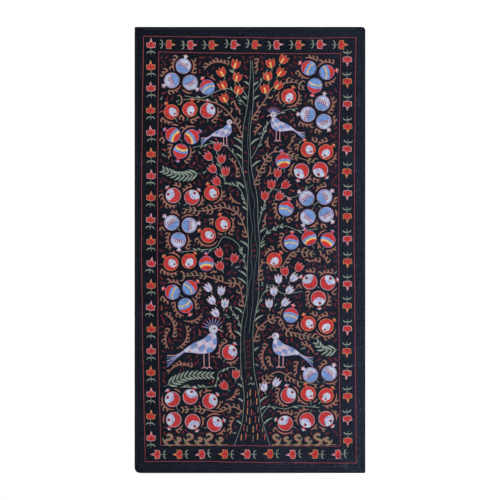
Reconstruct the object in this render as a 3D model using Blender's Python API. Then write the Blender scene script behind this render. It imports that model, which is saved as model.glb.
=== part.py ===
# An embroidered wall cloth lying flat: a dark cotton ground with a folded hem,
# and the silk chain stitch standing a little proud of it, in one closed sheet.
# Metres; the cloth lies on z = 0, face up, with its top towards +Y.

import math

import bmesh
import bpy
import numpy as np
from mathutils import Vector
from mathutils.geometry import delaunay_2d_cdt

# Driving sizes of the cloth
WIDTH = 1.06
LENGTH = 2.05
CLOTH_THICK = 0.0012
HEM_WIDE = 0.011
HEM_RISE = 0.0006
CORNER_RADII = {"bottom left": 0.026, "bottom right": 0.005, "top right": 0.013, "top left": 0.005}

# Driving sizes of the sewing
STITCH_RISE = 0.0006
FILL_RISE = 0.0008
LINE_WIDE = 0.0034
STEM_WIDE = 0.0042
FRUIT_RADIUS = 0.0345
CROWN_LONG = 0.018
TULIP_LONG = 0.035
TULIP_WIDE = 0.027
TULIP_PITCH = 0.030
TULIP_OFFSET = 0.031
LEAF_LONG = 0.042
LEAF_WIDE = 0.010
LEAF_LEAN = 48
UNEVEN = 0.05
UNEVEN_DEGREES = 12

# How the cloth's plan is cut into tiles: only inside its outline, with points this close as one
INSIDE_ONLY = 1
MERGE = 1e-6

# Insets of the two hand-drawn red lines from the cloth's edges, at even steps from top to bottom
# or from left to right, and of the lane between them
OUTER_LINE = {
    "left": (0.041, 0.034, 0.032, 0.038, 0.049),
    "right": (0.043, 0.049, 0.051, 0.046, 0.042),
    "top": (0.043, 0.046, 0.049, 0.052, 0.048),
    "bottom": (0.053, 0.054, 0.050, 0.048, 0.046),
}
INNER_LINE = {
    "left": (0.111, 0.106, 0.105, 0.109, 0.120),
    "right": (0.113, 0.121, 0.123, 0.120, 0.115),
    "top": (0.115, 0.119, 0.121, 0.123, 0.122),
    "bottom": (0.128, 0.127, 0.126, 0.125, 0.124),
}
LANE = {"left": 0.0755, "right": 0.0825, "top": 0.0825, "bottom": 0.0875}
LANE_RUNS = [
    # side, way of the spikes, tulips, gap before the first and after the last
    ("left", 90, 19, 0.075, 0.000),
    ("top", 0, 9, 0.083, 0.025),
    ("right", 270, 18, 0.068, 0.060),
    ("bottom", 180, 9, 0.045, 0.025),
]

# Half outlines of the repeated motifs, from the foot to the tip
BORDER_TULIP = [(0.009, -0.015), (0.020, -0.012), (0.021, 0.011), (0.007, 0.009), (0.0, 0.032)]
FIELD_TULIP = [(0.12, -0.5), (0.5, -0.05), (0.42, 0.5), (0.0, 0.2)]
CROWN = [(0.0125, CROWN_LONG), (0.0, CROWN_LONG - 0.004), (-0.0125, CROWN_LONG)]

# A bird's outlines for a body one unit long, beak to rump, facing +X
BIRD_BACK = [(0.34, 0.02), (0.33, 0.24), (0.37, 0.34), (0.5, 0.315), (0.35, 0.46), (0.22, 0.48), (0.15, 0.36)]
BIRD_BELLY = [(0.12, 0.21), (-0.20, 0.04), (-0.50, -0.15), (-0.30, -0.20), (0.0, -0.23), (0.24, -0.16)]
BIRD_TAIL = [(-0.44, -0.12), (-0.92, -0.30), (-0.90, -0.54), (-0.42, -0.20)]
BIRD_LEGS = [[(0.02, -0.18), (0.03, -0.56)], [(0.15, -0.18), (0.16, -0.56)]]

TRUNK = [
    # y, x, half width
    (-0.898, 0.010, 0.082),
    (-0.800, 0.012, 0.050),
    (-0.700, 0.006, 0.036),
    (-0.550, -0.008, 0.030),
    (-0.380, -0.012, 0.028),
    (-0.200, 0.006, 0.027),
    (-0.020, 0.020, 0.026),
    (0.160, 0.014, 0.024),
    (0.320, -0.006, 0.021),
    (0.480, -0.016, 0.018),
    (0.640, -0.004, 0.014),
    (0.780, 0.008, 0.008),
    (0.870, 0.006, 0.003),
]

BOUGHS = [
    # height on the trunk, side, the points passed
    (0.66, -1, [(-0.100, 0.742), (-0.218, 0.700), (-0.300, 0.708)]),
    (0.70, -1, [(-0.050, 0.760), (-0.084, 0.830)]),
    (0.52, -1, [(-0.080, 0.610), (-0.140, 0.668), (-0.230, 0.692), (-0.318, 0.690)]),
    (0.34, -1, [(-0.060, 0.420), (-0.130, 0.490), (-0.220, 0.480), (-0.262, 0.470)]),
    (0.20, -1, [(-0.050, 0.286), (-0.110, 0.310), (-0.140, 0.390), (-0.158, 0.430)]),
    (0.06, -1, [(-0.050, 0.160), (-0.120, 0.196), (-0.220, 0.180), (-0.310, 0.190)]),
    (-0.10, -1, [(-0.050, 0.020), (-0.120, 0.060), (-0.160, 0.010), (-0.240, 0.0), (-0.320, -0.010)]),
    (-0.26, -1, [(-0.050, -0.160), (-0.110, -0.150), (-0.200, -0.120), (-0.310, -0.120)]),
    (-0.36, -1, [(-0.060, -0.310), (-0.090, -0.270), (-0.130, -0.220)]),
    (-0.60, -1, [(-0.070, -0.540), (-0.140, -0.560), (-0.160, -0.620), (-0.220, -0.630), (-0.320, -0.63)]),
    (-0.74, -1, [(-0.080, -0.720), (-0.140, -0.742), (-0.220, -0.730), (-0.310, -0.734)]),
    (0.72, 1, [(0.050, 0.770), (0.080, 0.830)]),
    (0.60, 1, [(0.070, 0.690), (0.110, 0.750), (0.200, 0.770), (0.250, 0.750)]),
    (0.42, 1, [(0.050, 0.500), (0.090, 0.590), (0.160, 0.640), (0.220, 0.650)]),
    (0.30, 1, [(0.060, 0.390), (0.110, 0.450), (0.200, 0.430), (0.300, 0.400)]),
    (0.12, 1, [(0.070, 0.220), (0.110, 0.280), (0.190, 0.240), (0.290, 0.300)]),
    (0.02, 1, [(0.080, 0.080), (0.160, 0.110), (0.220, 0.090), (0.310, 0.096)]),
    (-0.14, 1, [(0.060, -0.060), (0.140, -0.080), (0.200, -0.010), (0.300, -0.020)]),
    (-0.30, 1, [(0.050, -0.220), (0.100, -0.160), (0.150, -0.200), (0.240, -0.190)]),
    (-0.42, 1, [(0.050, -0.350), (0.130, -0.310), (0.170, -0.370), (0.240, -0.390), (0.310, -0.410)]),
    (-0.66, 1, [(0.070, -0.600), (0.130, -0.560), (0.210, -0.600), (0.310, -0.620)]),
    (-0.76, 1, [(0.090, -0.720), (0.160, -0.730), (0.220, -0.716), (0.320, -0.724)]),
]

CLUSTERS = [
    # x, y, fruits, turn
    (-0.312, 0.798, 3, 82),
    (-0.196, 0.748, 1, 118),
    (-0.320, 0.640, 2, 8),
    (-0.194, 0.640, 1, 84),
    (-0.314, 0.500, 3, 264),
    (-0.308, 0.246, 2, -6),
    (-0.176, 0.262, 1, 96),
    (-0.322, 0.096, 3, 262),
    (-0.160, 0.092, 2, 38),
    (-0.320, -0.056, 2, 7),
    (-0.192, -0.062, 1, 92),
    (-0.310, -0.206, 3, 285),
    (-0.316, -0.680, 2, 8),
    (-0.184, -0.694, 1, 30),
    (-0.306, -0.784, 2, 174),
    (-0.162, -0.800, 1, 20),
    (-0.094, -0.470, 1, 70),
    (0.308, 0.802, 3, 18),
    (0.178, 0.706, 1, 76),
    (0.312, 0.628, 3, 66),
    (0.308, 0.456, 2, -8),
    (0.280, 0.366, 2, 184),
    (0.150, 0.396, 1, 96),
    (0.306, 0.200, 4, 50),
    (0.166, 0.190, 1, 84),
    (0.314, 0.050, 2, -6),
    (0.190, 0.036, 1, 76),
    (0.112, -0.046, 1, 52),
    (0.314, -0.172, 3, 278),
    (0.310, -0.344, 2, -8),
    (0.188, -0.300, 1, 92),
    (0.322, -0.570, 2, 5),
    (0.308, -0.664, 2, -6),
    (0.176, -0.668, 1, 110),
    (0.306, -0.778, 2, 184),
    (0.162, -0.796, 1, 150),
]
CLUSTER_REACH = {1: 0.0, 2: 0.0425, 3: 0.0485, 4: 0.060}

SPRAYS = [
    # x, y, tulips, turn
    (-0.092, 0.776, 6, 96),
    (-0.152, 0.396, 6, 108),
    (-0.106, -0.040, 3, 94),
    (-0.150, -0.232, 5, 106),
    (-0.092, -0.596, 2, 110),
    (0.112, 0.808, 6, 78),
    (0.124, 0.288, 5, 62),
    (0.192, -0.088, 2, 80),
    (0.146, -0.186, 6, 70),
    (0.092, -0.618, 2, 80),
]

FRONDS = [
    # x, y, turn, length
    (-0.318, 0.352, 168, 0.180),
    (-0.285, -0.592, 8, 0.230),
    (0.336, -0.462, 152, 0.130),
]

BIRDS = [
    # x, y, facing, size
    (-0.140, 0.545, 1, 0.100),
    (-0.220, -0.430, 1, 0.165),
    (0.150, 0.556, -1, 0.125),
    (0.158, -0.448, -1, 0.130),
]

CREASES = [
    # x and y of both ends, width, rise
    (0.236, -0.958, 0.372, -1.000, 0.044, 0.0016),
    (-0.455, -0.985, -0.180, -0.992, 0.036, 0.0011),
    (0.266, -0.782, 0.330, -0.846, 0.040, 0.0012),
    (-0.300, 0.992, -0.060, 1.000, 0.030, 0.0010),
    (0.470, 0.560, 0.492, 0.250, 0.030, 0.0010),
]


def turned(points, degrees, centre=(0.0, 0.0)):
    """The points turned about the origin and moved to their place."""
    a = math.radians(degrees)
    turn = np.array([[math.cos(a), math.sin(a)], [-math.sin(a), math.cos(a)]])
    return np.asarray(points, float) @ turn + centre


def arc(radius, start, end, steps, centre=(0.0, 0.0)):
    """Points along an arc, both ends among them."""
    a = np.radians(np.linspace(start, end, steps))
    return np.column_stack([centre[0] + radius * np.cos(a), centre[1] + radius * np.sin(a)])


def smooth(points, steps):
    """A soft curve through hand-placed points."""
    p = np.asarray(points, float)
    p = np.vstack([2 * p[0] - p[1], p, 2 * p[-1] - p[-2]])
    t = np.linspace(0, 1, steps, endpoint=False)[:, None]
    parts = []
    for a, b, c, d in zip(p[:-3], p[1:-2], p[2:-1], p[3:]):
        square = (2 * a - 5 * b + 4 * c - d) * t**2
        cube = (3 * b - 3 * c + d - a) * t**3
        parts.append(0.5 * (2 * b + (c - a) * t + square + cube))
    return np.vstack(parts + [p[-2:-1]])


def rib(line, wide):
    """The outline of a row of stitches along a line."""
    line = np.asarray(line, float)
    way = np.gradient(line, axis=0)
    way /= np.linalg.norm(way, axis=1)[:, None]
    side = np.column_stack([-way[:, 1], way[:, 0]]) * wide / 2
    return np.vstack([line + side, (line - side)[::-1]])


def leftward(outline):
    """The outline run so that its inside is on the left."""
    x, y = np.asarray(outline, float).T
    area = np.dot(x, np.roll(y, -1)) - np.dot(y, np.roll(x, -1))
    return outline if area > 0 else outline[::-1]


def cloth_outline(inset):
    """The cloth's outline, each corner with its own radius."""
    x, y = WIDTH / 2 - inset, LENGTH / 2 - inset
    corners = [
        # name, sides, start of the arc
        ("bottom left", -1, -1, 180),
        ("bottom right", 1, -1, 270),
        ("top right", 1, 1, 0),
        ("top left", -1, 1, 90),
    ]
    parts = []
    for name, sx, sy, start in corners:
        radius = max(CORNER_RADII[name] - inset, 0.002)
        centre = (sx * (x - radius), sy * (y - radius))
        parts.append(arc(radius, start, start + 90, 7, centre))
    return np.vstack(parts)


def line_frame(insets):
    """Four hand-drawn lines round the cloth, a little off straight."""
    for name, sign, end in (("left", -1, 0), ("right", 1, -1)):
        row = np.array(insets[name])
        top, bottom = insets["top"][end], insets["bottom"][end]
        along = np.linspace(LENGTH / 2 - top, bottom - LENGTH / 2, len(row))
        yield rib(smooth(np.column_stack([sign * (WIDTH / 2 - row), along]), 2), LINE_WIDE)
    for name, sign, end in (("top", 1, 0), ("bottom", -1, -1)):
        row = np.array(insets[name])
        left, right = insets["left"][end], insets["right"][end]
        along = np.linspace(left - WIDTH / 2, WIDTH / 2 - right, len(row))
        yield rib(smooth(np.column_stack([along, sign * (LENGTH / 2 - row)]), 2), LINE_WIDE)


def mirrored(half):
    """A half outline and its mirror image, the point on the axis taken once."""
    return half + [(-x, y) for x, y in half[-2::-1]]


def border_places():
    """Where each border tulip lies, and where its spike points, clockwise round the cloth."""
    left, right = LANE["left"] - WIDTH / 2, WIDTH / 2 - LANE["right"]
    bottom, top = LANE["bottom"] - LENGTH / 2, LENGTH / 2 - LANE["top"]
    ends = {
        "left": ((left, bottom), (left, top)),
        "top": ((left, top), (right, top)),
        "right": ((right, top), (right, bottom)),
        "bottom": ((right, bottom), (left, bottom)),
    }
    for name, turn, count, before, after in LANE_RUNS:
        start, end = (Vector(point) for point in ends[name])
        way = (end - start).normalized()
        for t in np.linspace(0, 1, count):
            yield (start + way * before).lerp(end - way * after, t), turn


def border_tulip(place, turn):
    """A crowned flower with a long spike."""
    return turned(mirrored(BORDER_TULIP), turn - 90, place)


def fruits_of(x, y, count, turn):
    """Where each fruit of a cluster lies and which way its crown points, a little uneven as by hand."""
    for k in range(count):
        way = turn + 360 * k / count
        sway = math.sin(40 * x + 23 * y + 2 * k)
        reach = CLUSTER_REACH[count] * (1 + UNEVEN * sway)
        place = (x + reach * math.cos(math.radians(way)), y + reach * math.sin(math.radians(way)))
        if count == 1:
            way = turn
        if count == 2:
            way = turn + 90 - 32 * (1 - 2 * k)
        yield place, way + UNEVEN_DEGREES * sway


def pomegranate(place, way):
    """A round fruit with a three-toothed crown."""
    body = arc(FRUIT_RADIUS, 104, 436, 10)
    crown = np.array(CROWN) + (0, FRUIT_RADIUS)
    return turned(np.vstack([body, crown]), way - 90, place)


def tulips_of(x, y, count, turn):
    """The tulips of a spray, on either side of its line in turn."""
    for k in range(count):
        along = TULIP_PITCH * (k - (count - 1) / 2)
        across = TULIP_OFFSET * (-1) ** k + 0.004 * math.sin(3 * k + 50 * x)
        yield turned([(along, across)], turn, (x, y))[0], turn + 24 * (-1) ** k


def tulip(place, way):
    """A small three-pointed flower."""
    return turned(np.array(mirrored(FIELD_TULIP)) * (TULIP_WIDE, TULIP_LONG), way - 90, place)


def frond(x, y, turn, length):
    """The outlines of a stem and its paired leaves."""
    spine = smooth([(-length / 2, -0.020), (0, 0.012), (length / 2, 0)], 3)
    yield turned(rib(spine, STEM_WIDE), turn, (x, y))
    run = np.linspace(0, 1, len(spine))
    for t in np.linspace(0.14, 0.88, 5):
        root = np.array([np.interp(t, run, spine[:, 0]), np.interp(t, run, spine[:, 1])])
        long = LEAF_LONG * (1 - 0.45 * t)
        leaf = [(0, 0), (long / 2, -LEAF_WIDE / 2), (long, 0), (long / 2, LEAF_WIDE / 2)]
        for side in (-1, 1):
            yield turned(turned(leaf, side * LEAF_LEAN, root), turn, (x, y))


def bird(x, y, facing, size):
    """The outlines of a standing bird: body with its head, tail and legs."""
    scale = np.array([facing * size, size])
    yield np.array(BIRD_BACK + BIRD_BELLY) * scale + (x, y)
    yield np.array(BIRD_TAIL) * scale + (x, y)
    for leg in BIRD_LEGS:
        yield rib(np.array(leg) * scale + (x, y), LINE_WIDE)


def crease_rise(x, y):
    """How far the cloth's face is lifted by its few flat creases."""
    rise = 0.0
    for x0, y0, x1, y1, wide, high in CREASES:
        way = Vector((x1 - x0, y1 - y0))
        along = (Vector((x, y)) - Vector((x0, y0))).dot(way) / way.length_squared
        off = abs(way.normalized().cross(Vector((x - x0, y - y0))))
        share = max(0.0, 1 - off / (wide / 2)) * max(0.0, 1 - abs(2 * along - 1))
        rise += high * share
    return rise


def crease_outlines():
    """Each crease as a thin diamond, parted along its top."""
    for x0, y0, x1, y1, wide, _ in CREASES:
        ends = np.array([(x0, y0), (x1, y1)])
        way = (ends[1] - ends[0]) / np.linalg.norm(ends[1] - ends[0])
        side = np.array([-way[1], way[0]]) * wide / 2
        middle = ends.mean(axis=0)
        yield np.array([ends[0], middle, middle + side])
        yield np.array([ends[0], middle - side, middle])
        yield np.array([ends[1], middle + side, middle])
        yield np.array([ends[1], middle, middle - side])


def sewn_shapes():
    """Every raised outline with its height over the bare cloth."""
    shapes = []
    for insets in (OUTER_LINE, INNER_LINE):
        shapes += [(outline, STITCH_RISE) for outline in line_frame(insets)]
    rows = np.array(TRUNK)
    for side in (-1, 1):
        edge = np.column_stack([rows[:, 1] + side * rows[:, 2], rows[:, 0]])
        shapes.append((rib(smooth(edge, 1), STEM_WIDE), STITCH_RISE))
    for height, side, points in BOUGHS:
        root = np.interp(height, rows[:, 0], rows[:, 1]) + side * np.interp(height, rows[:, 0], rows[:, 2])
        shapes.append((rib(smooth([(root, height)] + points, 2), STEM_WIDE), STITCH_RISE))
    for row in FRONDS:
        shapes += [(outline, STITCH_RISE) for outline in frond(*row)]
    shapes += [(border_tulip(*place), FILL_RISE) for place in border_places()]
    for row in CLUSTERS:
        shapes += [(pomegranate(*place), FILL_RISE) for place in fruits_of(*row)]
    for row in SPRAYS:
        shapes += [(tulip(*place), FILL_RISE) for place in tulips_of(*row)]
    for row in BIRDS:
        shapes += [(outline, FILL_RISE) for outline in bird(*row)]
    return shapes


def raised_sheet(shapes):
    """A closed sheet, flat below, with its hem and every sewn outline a step above the bare cloth."""
    outlines = [cloth_outline(0.0), cloth_outline(HEM_WIDE)] + list(crease_outlines())
    rises = [HEM_RISE] + [0.0] * (len(outlines) - 1)
    outlines = [leftward(outline) for outline in outlines + [outline for outline, _ in shapes]]
    rises += [rise for _, rise in shapes]
    points = [Vector(p) for outline in outlines for p in outline]
    ends = np.cumsum([len(outline) for outline in outlines])
    loops = [list(range(end - len(outline), end)) for outline, end in zip(outlines, ends)]
    plan, _, tiles, _, _, inside = delaunay_2d_cdt(points, [], loops, INSIDE_ONLY, MERGE)
    at_point = [set() for _ in plan]
    beside = {}
    levels = []
    for tile, within in zip(tiles, inside):
        inner = [rises[k] for k in within if k > 0]
        level = CLOTH_THICK + (max(inner) if inner else HEM_RISE)
        levels.append(level)
        for a, b in zip(tile, tile[1:] + tile[:1]):
            at_point[a].add(level)
            beside[(a, b)] = level
    mesh = bmesh.new()
    made = {}

    def corner(point, level):
        if (point, level) not in made:
            x, y = plan[point]
            z = level + crease_rise(x, y) if level else 0.0
            made[(point, level)] = mesh.verts.new((x, y, z))
        return made[(point, level)]

    for tile, level in zip(tiles, levels):
        mesh.faces.new([corner(point, level) for point in tile])
    rim = set()
    for (a, b), level in beside.items():
        below = beside.get((b, a), 0.0)
        if below < level:
            up = [z for z in sorted(at_point[b] | {0.0}) if below <= z <= level]
            down = [z for z in sorted(at_point[a] | {0.0}, reverse=True) if below <= z <= level]
            mesh.faces.new([corner(b, z) for z in up] + [corner(a, z) for z in down])
        if below == 0.0:
            rim.add(a)
    around = sorted(rim, key=lambda point: -math.atan2(plan[point].y, plan[point].x))
    mesh.faces.new([corner(point, 0.0) for point in around])
    return mesh


def cotton():
    """Dark plain-weave cotton: dull and rough."""
    material = bpy.data.materials.new("dark_cotton")
    material.use_nodes = True
    surface = material.node_tree.nodes["Principled BSDF"]
    surface.inputs["Base Color"].default_value = (0.0131, 0.0152, 0.0252, 1.0)
    surface.inputs["Roughness"].default_value = 0.9
    surface.inputs["Metallic"].default_value = 0.0
    return material


for thing in list(bpy.data.objects):
    bpy.data.objects.remove(thing, do_unlink=True)

sheet = raised_sheet(sewn_shapes())
data = bpy.data.meshes.new("suzani_cloth")
sheet.to_mesh(data)
sheet.free()
data.materials.append(cotton())
bpy.context.scene.collection.objects.link(bpy.data.objects.new("suzani_cloth", data))
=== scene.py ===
# %% [markdown]
# # An embroidered wall cloth, laid flat
#
# The object is one long dark cotton cloth, covered in silk chain stitch: a tree
# with pomegranates, tulips and birds, inside a border of small tulips. This
# lesson builds it the way it is sewn. First comes the cotton, then every row
# of stitches, one looped link after another, in the order of the needle.
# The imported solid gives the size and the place, and is loaded first.

import math

import bpy
import numpy as np
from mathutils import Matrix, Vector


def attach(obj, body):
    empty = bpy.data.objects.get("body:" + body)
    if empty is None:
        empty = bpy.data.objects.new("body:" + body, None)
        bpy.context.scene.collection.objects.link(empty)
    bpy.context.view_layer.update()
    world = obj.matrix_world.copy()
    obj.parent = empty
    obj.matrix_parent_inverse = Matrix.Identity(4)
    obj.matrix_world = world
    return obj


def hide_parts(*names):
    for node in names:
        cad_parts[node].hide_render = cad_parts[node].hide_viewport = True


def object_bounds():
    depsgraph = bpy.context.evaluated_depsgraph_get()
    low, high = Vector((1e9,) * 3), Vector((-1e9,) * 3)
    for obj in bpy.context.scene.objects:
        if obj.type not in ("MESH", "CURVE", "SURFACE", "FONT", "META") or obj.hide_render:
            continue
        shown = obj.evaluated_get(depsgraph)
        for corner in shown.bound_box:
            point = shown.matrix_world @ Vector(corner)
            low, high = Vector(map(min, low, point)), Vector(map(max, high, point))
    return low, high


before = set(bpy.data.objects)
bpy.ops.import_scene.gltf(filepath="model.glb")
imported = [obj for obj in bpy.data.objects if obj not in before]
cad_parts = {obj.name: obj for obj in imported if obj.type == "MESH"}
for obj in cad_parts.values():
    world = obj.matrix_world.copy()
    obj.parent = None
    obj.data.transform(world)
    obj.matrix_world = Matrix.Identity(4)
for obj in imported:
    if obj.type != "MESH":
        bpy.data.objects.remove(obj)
cad_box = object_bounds()
WIDTH, LENGTH = (float(cad_box[1][k] - cad_box[0][k]) for k in (0, 1))
print(f"cloth {WIDTH:.3f} m by {LENGTH:.3f} m, nodes {list(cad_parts)}")

# %% [markdown]
# ## The view
#
# The photograph looks straight down on the cloth, so its sides run parallel to
# the picture's. A long lens from high above keeps them so. How high follows
# from the share of the picture's height that the cloth fills.

# %% Camera
PHOTO_SIDE = 500
CLOTH_SIDE_IN_PHOTO = 446.1
LENS, SENSOR = 85.0, 36.0


def make_camera():
    """A camera straight above the cloth's middle, its top edge up."""
    seen = LENGTH * PHOTO_SIDE / CLOTH_SIDE_IN_PHOTO
    camera = bpy.data.objects.new("view", bpy.data.cameras.new("view"))
    camera.data.lens, camera.data.sensor_width = LENS, SENSOR
    camera.location = (0.0, 0.0, seen * LENS / SENSOR)
    bpy.context.scene.collection.objects.link(camera)
    bpy.context.scene.camera = camera
    return camera


camera = make_camera()
print(f"camera {camera.location.z:.2f} m above the cloth")

# %% [markdown]
# ## Light
#
# Such cloths are photographed under broad, soft lamps on white. A white world
# gives the even part. Two large lamps, one low on the right and one beyond the
# top edge, rake across the stitches, so that each row and each pucker has a lit
# and a dark side, and the cloth's right half is a little lighter, as in the
# photograph.

# %% Light
# The cotton's colour is also painted lighter towards the right and the bottom, which is painted light.
WORLD_STRENGTH = 0.87
LAMPS = [
    # name, place, size, watts
    ("side_lamp", (2.6, -0.9, 1.7), 1.4, 48.0),
    ("top_lamp", (-1.4, 2.4, 2.6), 2.0, 30.0),
]


def make_lamp(name, place, size, watts):
    """A large square lamp that looks at the cloth's middle."""
    data = bpy.data.lights.new(name, "AREA")
    data.size, data.energy = size, watts
    lamp = bpy.data.objects.new(name, data)
    lamp.location = place
    lamp.rotation_euler = lamp.location.to_track_quat("Z", "Y").to_euler()
    bpy.context.scene.collection.objects.link(lamp)


bpy.context.scene.view_settings.view_transform = "Standard"
world = bpy.data.worlds.new("studio")
world.use_nodes = True
world.node_tree.nodes["Background"].inputs["Color"].default_value = (1.0, 1.0, 1.0, 1.0)
world.node_tree.nodes["Background"].inputs["Strength"].default_value = WORLD_STRENGTH
bpy.context.scene.world = world
for row in LAMPS:
    make_lamp(*row)
print("lamps:", [row[0] for row in LAMPS])

# %% [markdown]
# ## Colours and nodes
#
# Dyers' colours are written as hex values, as a paint chart gives them. The
# renderer wants linear light, so one function turns them. A second function
# adds a node with its settings and links, a third gives a colour ramp its
# stops, and every material uses them.

# %% Helpers for materials
def linear(code):
    """An sRGB hex colour as linear red, green, blue and alpha."""
    parts = [int(code[k : k + 2], 16) / 255 for k in (1, 3, 5)]
    return tuple(c / 12.92 if c <= 0.04045 else ((c + 0.055) / 1.055) ** 2.4 for c in parts) + (1.0,)


def add(tree, kind, settings=None, links=None):
    """One shader node, with values set on its sockets or on itself, and its inputs linked."""
    made = tree.nodes.new("ShaderNode" + kind)
    for name, value in (settings or {}).items():
        if isinstance(name, int) or name in made.inputs:
            made.inputs[name].default_value = value
        else:
            setattr(made, name, value)
    for name, socket in (links or {}).items():
        tree.links.new(socket, made.inputs[name])
    return made


def set_stops(ramp, stops):
    """Gives a colour ramp its positions and colours."""
    elements = ramp.color_ramp.elements
    for _ in stops[2:]:
        elements.new(1.0)
    for element, (position, colour) in zip(elements, stops):
        element.position, element.color = position, colour


def new_material(name, finish):
    """A material with only its Principled shader, set to what is the same all over the surface."""
    material = bpy.data.materials.new(name)
    material.use_nodes = True
    shader = material.node_tree.nodes["Principled BSDF"]
    for socket, value in finish.items():
        shader.inputs[socket].default_value = value
    return material, material.node_tree, shader


print("navy in linear light:", [round(c, 4) for c in linear("#1e212c")[:3]])

# %% [markdown]
# ## Plain-weave cotton
#
# The ground is a plain-weave cotton, dyed navy black. It is dull, with a faint
# bloom of loose fibres, which is sheen. Its threads lie about 0.5 mm apart,
# far finer than a pixel here, so the weave is drawn as crossing ribs 2 mm
# apart. Dye takes unevenly on hand-loomed yarn: noises that are long along the
# warp or along the weft lighten single bands, a slow one makes clouds, and a
# fine one makes slubs. Light and shade are painted into the colour as well:
# painted shade on the hem's fold, in a band inside its seam and a little over
# the field, as the shade between rows of stitches; a painted highlight on the
# crests of creases; and painted light that makes the cloth lighter towards the
# right and the bottom. Painting all this on an image would look the same from
# here, but not nearer.

# %% Cotton
THREAD_PITCH_DRAWN = 0.002
WAVE_REPEAT = 0.314
COTTON_FINISH = {"Roughness": 0.88, "Sheen Weight": 0.01, "Sheen Roughness": 0.5, "Specular IOR Level": 0.04}
COTTON_START = -0.91
COTTON_NOISES = [
    # scale along X, Y and Z, detail, share in the dye
    ((9.0, 150.0, 1.0), 3.0, 0.5),
    ((150.0, 9.0, 1.0), 3.0, 0.5),
    ((4.0, 4.0, 4.0), 4.0, 0.3),
    ((120.0, 120.0, 120.0), 3.0, 1.0),
]
COTTON_DYE_AND_PAINTED_LIGHT = [
    # sum of all shares, colour there; the sum carries the dye and the painted light and shade
    (0.38, "#0d1017"),
    (0.92, "#202533"),
    (1.0, "#303646"),
]
HEM_PAINTED_SHADE_WIDE = 0.060
HEM_PAINTED_SHADE = [
    # inset from the edge, painted tone there, 0.5 for the cloth's own and lower for painted shade
    (0.0, 0.10),
    (0.0080, 0.16),
    (0.0100, 0.50),
    (0.0125, 0.50),
    (0.0145, 0.26),
    (0.0175, 0.30),
    (0.0210, 0.50),
    (0.0320, 0.48),
    (0.0600, 0.38),
]


def hem_tone(tree, place):
    """Painted shade by the distance from the nearest edge of the cloth: darker on the fold, in a band inside
    the seam and over the field.
    """
    insets = []
    for k, size in enumerate((WIDTH, LENGTH)):
        far = add(tree, "Math", {"operation": "ABSOLUTE"}, {0: place[k]})
        near = add(tree, "Math", {"operation": "SUBTRACT", 0: size / 2}, {1: far.outputs[0]})
        insets.append(near.outputs[0])
    inset = add(tree, "Math", {"operation": "MINIMUM"}, dict(enumerate(insets)))
    run = add(tree, "Math", {"operation": "DIVIDE", 1: HEM_PAINTED_SHADE_WIDE}, {0: inset.outputs[0]})
    # This ramp paints shade: darker on the fold, in a band inside the seam, and a little over the field
    # inward of the hem.
    tone = add(tree, "ValToRGB", {}, {"Fac": run.outputs[0]})
    set_stops(tone, [(at / HEM_PAINTED_SHADE_WIDE, (level, level, level, 1.0)) for at, level in HEM_PAINTED_SHADE])
    return tone.outputs[0]


def cotton():
    """Navy plain weave: ribs both ways, streaked dye with painted light and shade, rough with a little sheen.
    """
    material, tree, shader = new_material("navy_cotton_plain_weave", COTTON_FINISH)
    place = add(tree, "TexCoord").outputs["Object"]
    dye_and_painted_light = []
    for scale, detail, share in COTTON_NOISES:
        mapped = add(tree, "Mapping", {"Scale": scale}, {"Vector": place})
        noise = add(tree, "TexNoise", {"Scale": 1.0, "Detail": detail}, {"Vector": mapped.outputs[0]})
        dye_and_painted_light.append((noise.outputs[0], share))
    parts = add(tree, "SeparateXYZ", {}, {"Vector": place}).outputs
    # The worn attribute holds the painted highlight on the crests of creases.
    crest = add(tree, "Attribute", {"attribute_name": "worn"})
    dye_and_painted_light += [
        # the other causes, and their shares: X and Y paint the cloth lighter towards the right and the bottom
        # (painted light), then the hem's painted shade and the painted highlight on crease crests
        (parts[0], 0.275),
        (parts[1], -0.07),
        (hem_tone(tree, parts), 0.8),
        (crest.outputs["Fac"], 0.32),
    ]
    total = add(tree, "Value")
    total.outputs[0].default_value = COTTON_START
    for socket, share in dye_and_painted_light:
        total = add(tree, "Math", {"operation": "MULTIPLY_ADD", 1: share}, {0: socket, 2: total.outputs[0]})
    dye = add(tree, "ValToRGB", {}, {"Fac": total.outputs[0]})
    set_stops(dye, [(at, linear(code)) for at, code in COTTON_DYE_AND_PAINTED_LIGHT])
    tree.links.new(dye.outputs[0], shader.inputs["Base Color"])
    ribs = []
    for way in ("X", "Y"):
        settings = {"bands_direction": way, "Scale": WAVE_REPEAT / THREAD_PITCH_DRAWN}
        settings.update({"Distortion": 1.5, "Detail Scale": 2.0})
        ribs.append(add(tree, "TexWave", settings, {"Vector": place}).outputs[1])
    weave = add(tree, "Math", {"operation": "MAXIMUM"}, dict(enumerate(ribs)))
    bump = add(tree, "Bump", {"Strength": 0.35, "Distance": 0.0003}, {"Height": weave.outputs[0]})
    tree.links.new(bump.outputs[0], shader.inputs["Normal"])
    return material


COTTON = cotton()
print("made", COTTON.name)

# %% [markdown]
# ## Embroidery silk
#
# The thread is loosely twisted silk, which is smoother than cotton: it gives a
# soft gloss along its length and a faint sheen at grazing angles. Hand-dyed
# skeins are uneven, so a slow noise moves each colour a little darker and
# lighter, about every 15 mm of sewing. The stitches are geometry, so the
# material needs no bump.

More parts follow.
